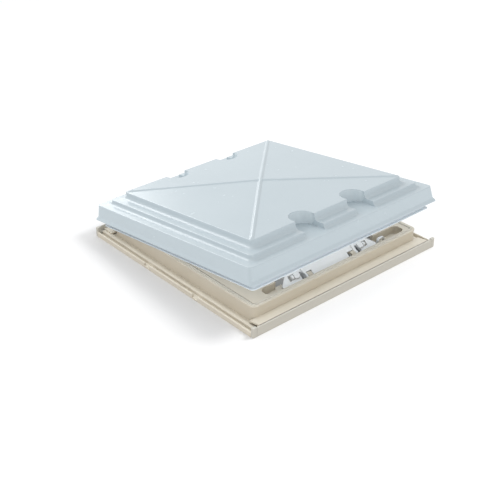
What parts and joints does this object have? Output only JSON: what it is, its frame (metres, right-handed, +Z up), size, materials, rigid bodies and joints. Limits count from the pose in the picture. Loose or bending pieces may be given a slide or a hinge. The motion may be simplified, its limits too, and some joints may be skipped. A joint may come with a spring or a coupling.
{
  "type": "roof vent cover",
  "caption": "Square push-up roof vent: moulded frame with lever trough and seal, stepped double-skin dome on rear hinges, front stay lever with curved tracks.",
  "frame": {"origin": "centre of the frame at the level of its underside", "axes": "+Z up through the roof, +Y towards the rear hinges, -Y towards the stay lever, +X to the right seen from the lever side looking to the hinges"},
  "size_m": [0.47, 0.47, 0.1472],
  "materials": {
    "frame_abs": "fine-grained beige ABS",
    "cover_abs": "satin beige ABS",
    "seal_rubber": "pale grey EPDM",
    "dome_acrylic": "milky blue-white acrylic",
    "pane_acrylic": "milky blue-white acrylic",
    "lever_plastic": "satin white plastic",
    "glide_plastic": "dark acetal",
    "steel": "zinc plated"
  },
  "bodies": {
    "frame": {"base_frame": "frame_abs", "front_cover_strip": "cover_abs", "rear_cover_strip": "cover_abs", "strip_end_caps": "cover_abs", "frame_seal": "seal_rubber", "front_lug_left": "frame_abs", "front_lug_right": "frame_abs", "lug_screws": "steel", "front_pivot_pin_left": "steel", "front_pivot_pin_right": "steel", "lock_quadrant_left": "steel", "lock_quadrant_right": "steel", "storage_clip": "lever_plastic", "rear_hinge_lug_left": "frame_abs", "rear_hinge_lug_right": "frame_abs", "rear_hinge_pin_left": "steel", "rear_hinge_pin_right": "steel"},
    "lever": {"stay_lever": "lever_plastic", "lever_grip": "lever_plastic", "track_pin_left": "steel", "track_pin_right": "steel", "track_glide_left": "glide_plastic", "track_glide_right": "glide_plastic"},
    "left_bolt": {"release_bolt_left": "lever_plastic"},
    "right_bolt": {"release_bolt_right": "lever_plastic"},
    "dome": {"outer_dome": "dome_acrylic", "inner_pane": "pane_acrylic", "track_bracket_left": "lever_plastic", "track_bracket_right": "lever_plastic", "hinge_knuckle_left": "lever_plastic", "hinge_knuckle_right": "lever_plastic", "bracket_screws": "steel"}
  },
  "joints": [
    {"name": "dome_tilt", "type": "hinge", "parent": "frame", "child": "dome", "pos_m": [0, 0.219, 0.0186], "axis": [-1, 0, 0], "range_deg": [-7.61, 5.99]},
    {"name": "stay_lever_swing", "type": "hinge", "parent": "frame", "child": "lever", "pos_m": [0, -0.184, 0.028], "axis": [1, 0, 0], "range_deg": [-30.24, 23.8]},
    {"name": "left_bolt_slide", "type": "slide", "parent": "lever", "child": "left_bolt", "axis": [-1, 0, 0], "range_m": [0, 0.004], "stiffness_N_per_m": 300, "springref_m": -0.002},
    {"name": "right_bolt_slide", "type": "slide", "parent": "lever", "child": "right_bolt", "axis": [1, 0, 0], "range_m": [0, 0.004], "stiffness_N_per_m": 300, "springref_m": -0.002}
  ],
  "couplings": [
    {"joint": "stay_lever_swing", "follows": "dome_tilt", "ratio": 3.9706}
  ]
}
